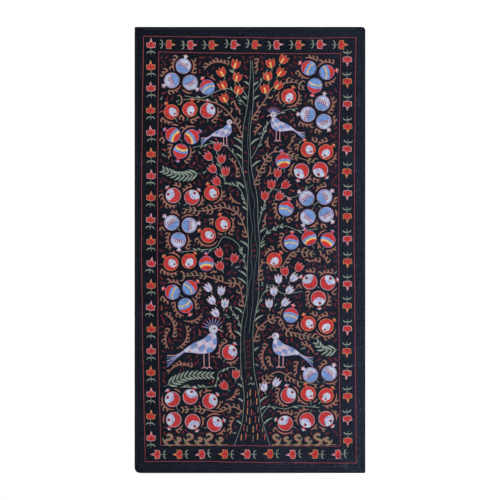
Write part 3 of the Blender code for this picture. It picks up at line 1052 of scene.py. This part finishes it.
# %% [markdown]
# ## Tulip sprays
#
# Small three-pointed tulips stand in sprays between the fruits, on both sides
# of an unseen line. Each has a filled cup, a darker or lighter heart and an
# outline in a second colour.

# %% Tulips
TULIP = [(0.12, -0.5), (0.40, -0.30), (0.5, 0.05), (0.44, 0.5), (0.20, 0.18), (0, 0.58)]
TULIP_LONG = 0.042
BLOOMS = {
    # cup, outline, heart, width
    "flame": ("red", "apricot", "yellow", 0.041),
    "ruby": ("red", "pink", "crimson", 0.035),
    "snow": ("white", "pink", "lilac", 0.034),
}
SPRAYS = [
    # x, y, tulips, turn, bloom
    (-0.092, 0.776, 6, 96, "flame"),
    (-0.152, 0.396, 6, 108, "ruby"),
    (-0.106, -0.040, 3, 94, "ruby"),
    (-0.150, -0.223, 5, 106, "snow"),
    (-0.092, -0.596, 2, 110, "ruby"),
    (0.112, 0.808, 6, 78, "flame"),
    (0.124, 0.288, 5, 62, "ruby"),
    (0.192, -0.088, 2, 80, "ruby"),
    (0.146, -0.186, 6, 70, "snow"),
    (0.092, -0.618, 2, 80, "snow"),
]


def tulips_of(x, y, count, turn):
    """The tulips of a spray, on either side of its line in turn."""
    for k in range(count):
        step = 0.030 * (k - (count - 1) / 2)
        off = 0.031 * (-1) ** k + 0.004 * math.sin(3 * k + 50 * x)
        yield turned([(step, off)], turn, (x, y))[0], turn + 24 * (-1) ** k


def tulip(centre, way, bloom):
    """A cup of three points with its heart, its outline and a short stem."""
    cup, edge, heart, wide = BLOOMS[bloom]
    size = np.array([wide, TULIP_LONG])

    def dye(points):
        q = unturned(points, way - 90, centre) / size
        return np.where((np.abs(q[:, 0]) < 0.10) & (q[:, 1] < 0.16), heart, cup)

    fill("fruit", turned(mirrored(TULIP) * (size - 1.0 * ROW), way - 90, centre), way, dye)
    sew("fruit", turned(closed(mirrored(TULIP)) * (size + 0.2 * ROW), way - 90, centre), edge, 0.6, 1)
    sew("tree", turned([(0, -0.017), (0, -0.036)], way - 90, centre), "sage")


BLOSSOM = [(centre, way, row[4]) for row in SPRAYS for centre, way in tulips_of(*row[:4])]
for centre, way, bloom in BLOSSOM:
    tulip(centre, way, bloom)
mark()
print("tulips in the field:", len(BLOSSOM))

# %% [markdown]
# ## Birds
#
# Four birds stand among the boughs. Their bodies are patched in blue and
# white, which the sewer gets by changing thread every few links. Outlines in
# pink and lilac hold the patches together. All four come from one drawing, one
# unit long, that is scaled, and mirrored where the bird faces left.

# %% Birds
BIRD_BODY = [(0.34, 0.02), (0.31, 0.26), (0.17, 0.27), (0.02, 0.14), (-0.25, 0.02), (-0.50, -0.17)]
BIRD_BELLY = [(-0.30, -0.20), (0.0, -0.23), (0.24, -0.16)]
BIRD_WING = [(0.20, 0.04), (0.0, 0.06), (-0.24, -0.06), (-0.02, -0.12), (0.18, -0.06)]
BIRD_HEAD = (0.26, 0.38)
BIRDS = [
    # x, y, facing, size, crest
    (-0.124, 0.545, 1, 0.112, False),
    (-0.216, -0.434, 1, 0.184, True),
    (0.140, 0.574, -1, 0.125, True),
    (0.156, -0.452, -1, 0.148, False),
]


def bird(x, y, facing, size, crest):
    """A standing bird with patched body, head, tail, legs and sometimes a crest."""
    scale = np.array([facing * size, size])

    def place(points):
        return np.asarray(points, float) * scale + (x, y)

    def dye(points):
        q = (points - (x, y)) / scale
        level = (q[:, 1] - q[:, 0] * 0.50 + 0.33) / 0.165
        slant = (q[:, 0] + q[:, 1] * 0.35) / 0.420 + 0.42 * np.floor(level)
        seam = (slant % 0.5 < 0.045) | (level % 1 < 0.09)
        blue = slant % 1 < 0.5
        return np.where(seam, "pink", np.where(blue, "sky", "white"))

    body = smooth(BIRD_BODY + BIRD_BELLY, closed=True)
    fill("birds", place(body), 90, dye)
    sew("birds", place(closed(body)), "lilac", 0.8, 1)
    sew("birds", place(closed(smooth(BIRD_WING, closed=True))), "pink", 0.6, 1)
    for offset, name in ((-0.10, "lilac"), (-0.05, "sky"), (0.0, "white"), (0.05, "sky"), (0.10, "pink")):
        fan = [(-0.44, -0.15 + 0.2 * offset), (-0.66, -0.30 + 0.4 * offset), (-0.90, -0.42 + 1.4 * offset)]
        sew("birds", place(smooth(fan)), name)
    head = arc(BIRD_HEAD, 0.105, 0, 360, 20)
    fill("birds", place(head), 90, "white")
    sew("birds", place(head), "pink", 0.7, 1)
    fill("birds", place(arc((0.285, 0.395), 0.030, 0, 360, 9)), 90, "crimson", 1)
    for lip in (-0.012, 0.012):
        sew("birds", place([(0.350, 0.385 + lip), (0.43, 0.36), (0.50, 0.315)]), "pink")
    for hip in (0.02, 0.15):
        sew("birds", place([(hip, -0.20), (hip + 0.01, -0.56)]), "pink")
        for toe in (-0.06, 0.07):
            sew("birds", place([(hip + 0.01, -0.56), (hip + 0.01 + toe, -0.60)]), "pink")
    for angle in range(40, 170, 18) if crest else ():
        feather = [arc(BIRD_HEAD, radius, angle, angle, 1)[0] for radius in (0.12, 0.26, 0.29)]
        sew("birds", place(feather[:2]), "lilac")
        fill("birds", place(arc(feather[2], 0.022, 0, 360, 8)), 0, "crimson")


for row in BIRDS:
    bird(*row)
mark()
print("birds:", len(BIRDS))

# %% [markdown]
# ## Fern fronds and boughs
#
# Boughs leave the trunk and bend outwards below the fruits. The leafy ones are
# one grey-green row, and the scrolling ones a tan row with a salmon one beside
# it. Paired leaves sit along the ferns; the boughs get their leaves and hooks
# later, wherever the cloth is still bare.

# %% Fronds and boughs
FRONDS = [
    # x, y, turn, length
    (-0.318, 0.352, 168, 0.180),
    (-0.285, -0.592, 8, 0.230),
    (0.350, -0.450, 150, 0.104),
]
BOUGHS = [
    # height on the trunk, side, the points passed; the scrolling ones are named below
    (0.66, -1, [(-0.100, 0.742), (-0.218, 0.700), (-0.300, 0.708)]),
    (0.70, -1, [(-0.050, 0.760), (-0.084, 0.830)]),
    (0.52, -1, [(-0.080, 0.610), (-0.140, 0.668), (-0.230, 0.692), (-0.318, 0.690)]),
    (0.34, -1, [(-0.060, 0.420), (-0.130, 0.490), (-0.220, 0.480), (-0.262, 0.470)]),
    (0.20, -1, [(-0.050, 0.286), (-0.110, 0.310), (-0.140, 0.390), (-0.158, 0.430)]),
    (0.06, -1, [(-0.050, 0.160), (-0.120, 0.196), (-0.220, 0.180), (-0.310, 0.190)]),
    (-0.10, -1, [(-0.050, 0.020), (-0.120, 0.060), (-0.160, 0.010), (-0.240, 0.0), (-0.320, -0.010)]),
    (-0.26, -1, [(-0.050, -0.160), (-0.110, -0.150), (-0.200, -0.120), (-0.310, -0.120)]),
    (-0.36, -1, [(-0.060, -0.310), (-0.090, -0.270), (-0.130, -0.220)]),
    (-0.60, -1, [(-0.070, -0.540), (-0.140, -0.560), (-0.160, -0.620), (-0.220, -0.630), (-0.320, -0.63)]),
    (-0.74, -1, [(-0.080, -0.720), (-0.140, -0.742), (-0.220, -0.730), (-0.310, -0.734)]),
    (0.72, 1, [(0.050, 0.770), (0.080, 0.830)]),
    (0.60, 1, [(0.070, 0.690), (0.110, 0.750), (0.200, 0.770), (0.250, 0.750)]),
    (0.42, 1, [(0.050, 0.500), (0.090, 0.590), (0.160, 0.640), (0.220, 0.650)]),
    (0.30, 1, [(0.060, 0.390), (0.110, 0.450), (0.200, 0.430), (0.300, 0.400)]),
    (0.12, 1, [(0.070, 0.220), (0.110, 0.280), (0.190, 0.240), (0.290, 0.300)]),
    (0.02, 1, [(0.080, 0.080), (0.160, 0.110), (0.220, 0.090), (0.310, 0.096)]),
    (-0.14, 1, [(0.060, -0.060), (0.140, -0.080), (0.200, -0.010), (0.300, -0.020)]),
    (-0.30, 1, [(0.050, -0.220), (0.100, -0.160), (0.150, -0.200), (0.240, -0.190)]),
    (-0.42, 1, [(0.050, -0.350), (0.130, -0.310), (0.170, -0.370), (0.240, -0.390), (0.310, -0.410)]),
    (-0.66, 1, [(0.070, -0.600), (0.130, -0.560), (0.210, -0.600), (0.310, -0.620)]),
    (-0.76, 1, [(0.090, -0.720), (0.160, -0.730), (0.220, -0.716), (0.320, -0.724)]),
]
SCROLLING = {0.52, 0.06, -0.26, -0.74, 0.60, 0.30, -0.14, -0.42, -0.66}


def frond(x, y, turn, length):
    """A bent stem with pairs of leaves that grow shorter towards the tip."""
    spine = turned(smooth([(-length / 2, -0.020), (0, 0.012), (length / 2, 0)]), turn, (x, y))
    sew("tree", spine, "moss")
    pairs = round(length / 0.021)
    for k, (root, way) in enumerate(along(spine, length / (pairs + 0.5), length * 0.10, 0.004)):
        long = 0.042 * (1 - 0.45 * k / pairs)
        for side in (-1, 1):
            leaf("tree", root, way + side * 48, long, 3, "sage", bend=-0.2 * side)


def bough_leaves(line, every, long, lean):
    """Leaves on both sides of a bough, left out where something else is sewn."""
    for k, (root, way) in enumerate(along(line, every, 0.012, 0.004)):
        for side in (1, -1):
            tip = turned([(0.7 * long, 0), (long, 0)], way + side * lean, root)
            if bare(tip, 0.0035):
                size = long * (0.85 + 0.15 * ((7 * k + side) % 3))
                leaf("tree", root, way + side * lean, size, 2, "sage", -0.3 * side)


for row in FRONDS:
    frond(*row)
leafy_lines, scroll_lines = [], []
for height, side, points in BOUGHS:
    middle, half = trunk_at(height)
    line = smooth([(middle + side * half, height)] + points)
    if height in SCROLLING:
        sew("scrolls", line, "tan")
        sew("scrolls", beside(line, ROW)[:-8], "salmon", 0.8)
        scroll_lines.append(line)
    else:
        sew("tree", line, "sage", 0.85)
        leafy_lines.append(line)
mark()
print("boughs:", len(leafy_lines), "leafy,", len(scroll_lines), "scrolling")

# %% [markdown]
# ## Scrolls
#
# Bold scrolls curl round the fruits: three rows of tan and salmon, with hooked
# leaves along the outside. Each fruit gets as much of its ring as is still
# bare, so that two neighbours share the gap between them. A strip of larger
# curls, like waves, closes the field at its foot: they face away from the
# middle on both sides, big and small by turns, and stand on a base line.

# %% Scrolls and waves
SCROLL_RADIUS = 0.0480
HOOK_LEAN = 74
CROZIER = np.array([(0, 0), (0.42, -0.02), (0.78, 0.08), (1.00, 0.32), (0.94, 0.62)])


def hooks(line, side, every=0.0160, long=0.0160):
    """Curled hooks along one side of a line, left out where something else is sewn."""
    for k, (root, way) in enumerate(along(line, every, 0.003, 0.002)):
        reach = long * (0.85 + 0.3 * math.sin(1.3 + 2.1 * k))
        curl = turned(smooth(CROZIER * (1, -side), steps=3), way + side * HOOK_LEAN, root, reach)
        if bare(curl[7:], 0.0035):
            sew("scrolls", curl, "tan")
            sew("scrolls", beside(curl, -side * ROW * 0.85)[:7], "tan", 0.9)
            sew("scrolls", beside(curl, side * ROW * 0.85)[1:-3], "salmon", 0.75)


def scroll(line, side):
    """Three rows that swell and draw together again, with hooks along one side."""
    swell = ROW * np.sin(np.linspace(0, math.pi, len(line))) ** 0.6
    sew("scrolls", line, "tan")
    sew("scrolls", beside(line, -side * swell), "salmon", 0.75)
    sew("scrolls", beside(line, side * swell)[2:-2], "salmon", 0.6)
    hooks(line, side)


def wreath(centre, crown):
    """Scrolls on the bare parts of a ring round a fruit, its crown left free."""
    angles = np.arange(0, 360, 10)
    ring = arc(centre, SCROLL_RADIUS, 0, 350, 36)
    off = np.abs((angles - crown + 180) % 360 - 180)
    inside = (np.abs(ring[:, 0]) < 0.405) & (ring[:, 1] > -0.868) & (ring[:, 1] < 0.890)
    free = [bool(a and b > 34 and bare(p, 0.0055)) for a, b, p in zip(inside, off, ring)]
    if all(free) or not any(free):
        return
    shift = free.index(False)
    run = []
    for k in range(shift, shift + 37):
        if k < shift + 36 and free[k % 36] and len(run) < 15:
            run.append(10 * k)
        else:
            if len(run) >= 4:
                scroll(arc(centre, SCROLL_RADIUS, run[0], run[-1], 2 * len(run)), side=-1)
            run = []


def wave(x, y, side, size):
    """One curling wave of the strip at the foot of the field, with a small leaf at its back."""
    low = [(-0.014, 0.002), (0.004, 0.002), (0.013, 0.010), (0.008, 0.022)]
    high = [(-0.005, 0.031), (-0.009, 0.043), (0.001, 0.052), (0.013, 0.047), (0.013, 0.038)]
    tilt = dice.normal(0, 7)
    size_here = size * dice.uniform(0.9, 1.04)
    curl = turned(smooth(low + high) * (1.25 * side, 0.92), tilt, scale=size_here)
    for k, name in enumerate(("tan", "tan", "tan", "tan", "salmon")):
        sew("scrolls", (beside(curl, side * ROW * 0.9 * (k - 2)) + (x, y))[2 * k : len(curl) - 3 * k], name)
    leaf("scrolls", (x + side * 0.010, y + 0.005), 90 - side * 50, 0.030 * size, 3, "tan", side * 0.35)


foot = -LENGTH / 2 + 0.131
for number, x in enumerate(np.concatenate([np.arange(-0.375, -0.09, 0.048), np.arange(0.118, 0.39, 0.048)])):
    wave(x + dice.normal(0, 0.002), foot, -1 if x < 0 else 1, (1.0, 0.70)[number % 2])
for x in (-0.395, 0.100):
    sew("scrolls", [(x, foot - 0.001), (x + 0.295, foot)], "tan", 0.8)
mark()
for line in scroll_lines:
    for side in (-1, 1):
        hooks(line, side, every=0.0200, long=0.0215)
mark()
for centre, crown, _ in HARVEST:
    stem = turned([(-FRUIT_RADIUS - 0.002, 0), (-FRUIT_RADIUS - 0.018, 0.002)], crown, centre)
    if bare(stem[1:], 0.005):
        sew("tree", stem, "sage", 0.8)
mark()
for centre, crown, _ in HARVEST:
    wreath(centre, crown)
    mark()
spots = [(x, y) for y in np.arange(-0.84, 0.88, 0.012) for x in np.arange(-0.40, 0.40, 0.012)]
for long, bend in ((0.13, 100), (0.10, 90), (0.075, 80), (0.055, 70)):
    for number in dice.permutation(len(spots)):
        radius = long / math.radians(bend)
        crescent = arc((0, 0), radius, -bend / 2, bend / 2, 14) - (radius, 0)
        crescent = turned(crescent, dice.uniform(0, 360), spots[number])
        middle, half = trunk_at(crescent[:, 1])
        beside_trunk = np.abs(crescent[:, 0] - middle).min() > half.max()
        if beside_trunk and np.abs(crescent[:, 0]).max() < 0.40 and bare(crescent, 0.0110):
            scroll(crescent, side=-1)
            mark()
print("scroll links:", sum(len(links) for key in sewn for links in sewn[key] if key[0] == "scrolls"))

# %% [markdown]
# ## Leaves and filler sprigs
#
# Last come the leaves on the boughs, those that curl outwards from the trunk,
# as large as the bare cloth there allows, and the small sprigs that fill every
# bare patch. The sprigs, each a bent stem with three barbs, are mostly wine-red
# and crimson. They hardly show one by one; together they warm the black ground,
# as the real filling does.

# %% Leaves and sprigs
def sprig(x, y, turn, name, size):
    """A bent stem with three barbs, all in thin rows."""
    bent = smooth([(-size / 2, -size * 0.14), (0, size * 0.08), (size / 2, -size * 0.02)], steps=4)
    spine = turned(bent, turn, (x, y))
    group = "tree" if name == "sage" else "scrolls"
    sew(group, spine, name, 0.8)
    for root, lean in zip(spine[[2, 4, 6]], (50, -50, 46)):
        sew(group, [root, root + turned([(size * 0.34, 0)], turn + lean)[0]], name, 0.7)


for line in leafy_lines:
    bough_leaves(line, 0.0175, 0.0180, 46)
    mark()
rows = np.array(TRUNK)[1:-1]
for side in (-1, 1):
    edge = smooth(np.column_stack([rows[:, 1] + side * (rows[:, 2] + 0.003), rows[:, 0]]))
    for root, _ in along(edge, 0.034):
        for long in (0.042, 0.032, 0.024):
            tips = [(0.55 * long, -0.12 * side * long), (long, -0.5 * side * long)]
            claw = turned(tips, 90 - side * 26, root)
            if bare(claw, 0.004):
                leaf("tree", root, 90 - side * 26, long, 3, "sage", -0.5 * side)
                break
mark()
spots = [(x, y) for y in np.arange(-0.853, 0.896, 0.0125) for x in np.arange(-0.407, 0.405, 0.0125)]
order = dice.permutation(len(spots))
for gap, size in ((0.0165, 0.030), (0.0120, 0.022), (0.0085, 0.015)):
    for number in order:
        if bare(spots[number], gap):
            name = dice.choice(["wine", "crimson", "salmon", "sage"], p=[0.66, 0.22, 0.06, 0.06])
            sprig(*spots[number], dice.uniform(0, 360), name, size)
            mark()
print("links in all:", sum(len(links) for rows in sewn.values() for links in rows))

# %% [markdown]
# ## From links to silk
#
# Every link becomes two strands. A strand is a small ridge of five points: it
# starts thin under the link before it, swells outwards and ends under the next
# link. A low flat bed of thread below both keeps the cotton from showing
# through. All links of one dye and one part of the design are one mesh. Their
# height follows the cotton below, and a little chance in height and width
# keeps the rows from looking machined.

# %% Links to meshes
STRAND = [(0.0, 0.10, 0.10), (0.55, 1.0, 0.0), (0.55, 0.60, 1.0), (0.55, 0.12, 0.20), (1.14, 0.15, 0.60)]
BED = [(-0.05, 0.92, 0.20), (1.05, 0.92, 0.20)]
STRAND_FACES = np.array([(0, 1, 2), (0, 2, 3), (1, 4, 2), (2, 4, 3)])
STRAND_HEIGHT = 0.0011
HALF_ROW = 0.00146


def silk_mesh(group, name, links):
    """All links of one dye in one part of the design, as one object."""
    start, end = links[:, :2], links[:, 2:4]
    reach = end - start
    long = np.hypot(*reach.T)[:, None]
    side = np.column_stack([-reach[:, 1], reach[:, 0]]) / np.maximum(long, 1e-9)
    low = face(start[:, 0], start[:, 1])
    high = face(end[:, 0], end[:, 1])
    chance = np.random.default_rng(len(links))
    tall = STRAND_HEIGHT * chance.uniform(0.8, 1.2, len(links)) * (1 + 0.6 * links[:, 5])
    wide = HALF_ROW * chance.uniform(0.9, 1.1, len(links)) * links[:, 4]
    points, faces = [], []
    parts = [(-1, STRAND, STRAND_FACES), (1, STRAND, STRAND_FACES[:, ::-1])]
    parts += [(-1, BED, np.array([(0, 2, 3), (0, 3, 1)])), (1, BED, np.zeros((0, 3), int))]
    for hand, section, corners in parts:
        first = len(points) * len(links)
        for ahead, out, up in section:
            flat = start + reach * ahead + side * (hand * out * wide)[:, None]
            points.append(np.column_stack([flat, low + (high - low) * ahead + up * tall]))
        base = first + np.arange(len(links))[:, None, None]
        faces.append((corners[None] * len(links) + base).reshape(-1, 3))
    return mesh_from(f"{group}_{name}", np.vstack(points), np.vstack(faces), SILKS[name])


silks = [silk_mesh(group, name, np.vstack(sewn[group, name])) for group, name in sorted(sewn)]
for piece in silks:
    print(f"{piece.name}: {len(piece.data.polygons)} triangles")

# %% [markdown]
# ## The hem's seam
#
# The folded edge is held by small running stitches in navy thread, just inside
# the fold's inner edge. They catch the light as a fine broken line. Their thread
# is lighter than the cotton and shows fuller along the top and right than along
# the bottom and left, which paints those sides as the lit ones: painted light.

# %% Hem stitches
HEM_STITCH_PITCH, HEM_STITCH_LONG = 0.0062, 0.0042
HEM_CORNER_CUT = 0.03


def hem_seam():
    """Running stitches round the cloth, each a short ridge of thread."""
    x, y = WIDTH / 2 - HEM_STITCH_INSET, LENGTH / 2 - HEM_STITCH_INSET
    cut = HEM_CORNER_CUT
    sides = [
        # from, to, and how full the thread shows there, fuller on the top and right as painted light
        ((-x + cut, y), (x - cut, y), 0.85),
        ((x, y - cut), (x, cut - y), 0.70),
        ((x - cut, -y), (cut - x, -y), 0.35),
        ((-x, cut - y), (-x, y - cut), 0.30),
    ]
    for start, end, wide in sides:
        start, end = np.array(start), np.array(end)
        long = np.linalg.norm(end - start)
        way = (end - start) / long
        for s in np.arange(0, long, HEM_STITCH_PITCH):
            sew("hem", [start + way * s, start + way * (s + HEM_STITCH_LONG)], "navy", wide)
    return silk_mesh("hem", "navy", np.vstack(sewn.pop(("hem", "navy"))))


seam = hem_seam()
print(f"{seam.name}: {len(seam.data.polygons)} triangles")

# %% [markdown]
# ## The floor
#
# The cloth is shown on white. The floor is one wide, plain, pale sheet of
# paper, with a faint grain so that it isn't perfectly flat in colour.

# %% Floor
FLOOR_SIDE = 12.0
PAPER_FINISH = {"Roughness": 0.9, "Specular IOR Level": 0.2}
PAPER_TONES = [(0.0, "#f6f6f6"), (1.0, "#fbfbfb")]


def floor_sheet():
    """A wide plain floor under the cloth."""
    material, tree, shader = new_material("white_studio_paper", PAPER_FINISH)
    place = add(tree, "TexCoord").outputs["Object"]
    grain = add(tree, "TexNoise", {"Scale": 40.0, "Detail": 3.0}, {"Vector": place})
    tone = add(tree, "ValToRGB", {}, {"Fac": grain.outputs[0]})
    set_stops(tone, [(at, linear(code)) for at, code in PAPER_TONES])
    tree.links.new(tone.outputs[0], shader.inputs["Base Color"])
    mesh = bpy.data.meshes.new("floor")
    half = FLOOR_SIDE / 2
    corners = [(-half, -half, 0), (half, -half, 0), (half, half, 0), (-half, half, 0)]
    mesh.from_pydata(corners, [], [(0, 1, 2, 3)])
    mesh.materials.append(material)
    made = bpy.data.objects.new("floor", mesh)
    bpy.context.scene.collection.objects.link(made)
    return made


floor = floor_sheet()
print("floor", FLOOR_SIDE, "m wide")

# %% [markdown]
# ## Hand the pieces over
#
# The new cloth takes the imported solid's place, and every silk piece rides with
# it.

# %% Pieces
pieces = [ground, seam] + silks
for piece in pieces:
    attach(piece, "root")
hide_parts("suzani_cloth")
